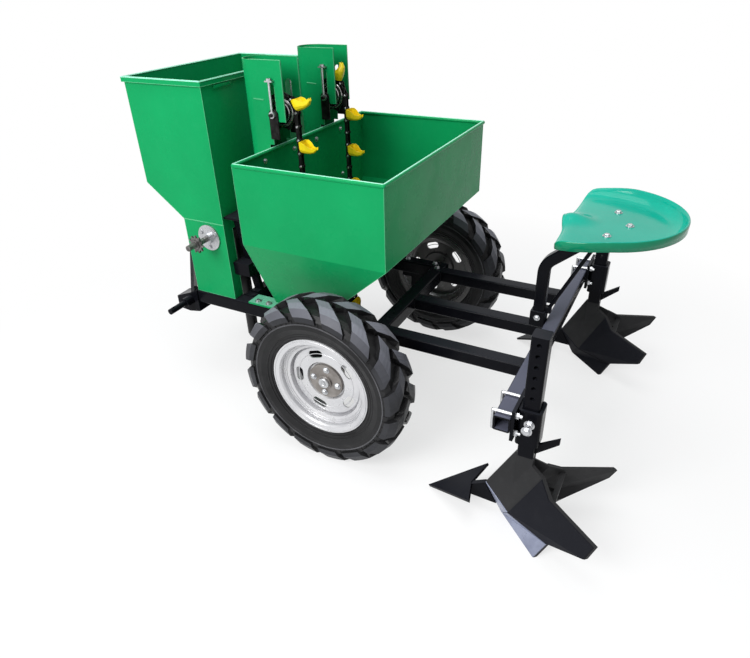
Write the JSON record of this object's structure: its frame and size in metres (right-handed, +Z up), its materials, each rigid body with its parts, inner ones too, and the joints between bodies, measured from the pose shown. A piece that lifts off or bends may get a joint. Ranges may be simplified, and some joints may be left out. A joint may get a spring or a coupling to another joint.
{
  "type": "potato planter",
  "caption": "Tractor-mounted potato planter with potato hopper, cup elevators, fertiliser hopper, ground wheels, rear ridgers on a toolbar and a rider's seat.",
  "frame": {"origin": "middle of the machine's bounding box at ground level", "axes": "+X forward toward the tractor, +Y to the machine's left, +Z up"},
  "size_m": [1.7899, 1.279, 1.177],
  "materials": {
    "green_paint": "gloss",
    "seat_paint": "gloss",
    "zinc_plate": "satin",
    "rim_paint": "satin",
    "tyre_rubber": "matte",
    "cup_plastic": "gloss",
    "chain_steel": "oiled",
    "share_steel": "satin",
    "hub_paint": "satin",
    "drop_plastic": "matte",
    "black_paint": "gloss"
  },
  "bodies": {
    "planter": {"side_rail_left": "black_paint", "side_rail_right": "black_paint", "cross_beams": "black_paint", "hitch_bracket_left": "black_paint", "hitch_bracket_right": "black_paint", "mast": "black_paint", "rear_bars": "black_paint", "toolbar": "black_paint", "axle_bearings": "black_paint", "fertiliser_hopper": "green_paint", "feed_bearings": "zinc_plate", "feed_drops": "drop_plastic", "potato_hopper": "green_paint", "hopper_feet": "green_paint", "seed_column_left": "green_paint", "seed_column_right": "green_paint", "column_stays": "black_paint", "tensioner_left": "zinc_plate", "tensioner_right": "zinc_plate", "top_sprocket_left": "chain_steel", "top_sprocket_right": "chain_steel", "lower_shaft": "chain_steel", "cup_chain_left": "chain_steel", "cup_chain_right": "chain_steel", "cups_left": "cup_plastic", "cups_right": "cup_plastic", "opener_left": "share_steel", "opener_right": "share_steel", "ridger_sleeve_left": "black_paint", "ridger_sleeve_right": "black_paint", "u_bolts": "zinc_plate", "ridger_shank_left": "black_paint", "ridger_shank_right": "black_paint", "ridger_body_left": "share_steel", "ridger_body_right": "share_steel", "ridger_point_left": "share_steel", "ridger_point_right": "share_steel", "seat_pan": "seat_paint", "seat_arm": "black_paint", "seat_brace": "black_paint"},
    "wheelset": {"axle": "zinc_plate", "hub_left": "hub_paint", "hub_right": "hub_paint", "rim_left": "rim_paint", "rim_right": "rim_paint", "tyre_left": "tyre_rubber", "tyre_right": "tyre_rubber"},
    "feed_drive": {"feed_shaft": "zinc_plate", "feed_sprocket": "zinc_plate"}
  },
  "joints": [
    {"name": "wheelset_turn", "type": "hinge", "parent": "planter", "child": "wheelset", "pos_m": [0.013, 0, 0.285], "axis": [0, 1, 0], "continuous": true},
    {"name": "feed_turn", "type": "hinge", "parent": "planter", "child": "feed_drive", "pos_m": [0.563, 0, 0.615], "axis": [0, 1, 0], "continuous": true}
  ]
}
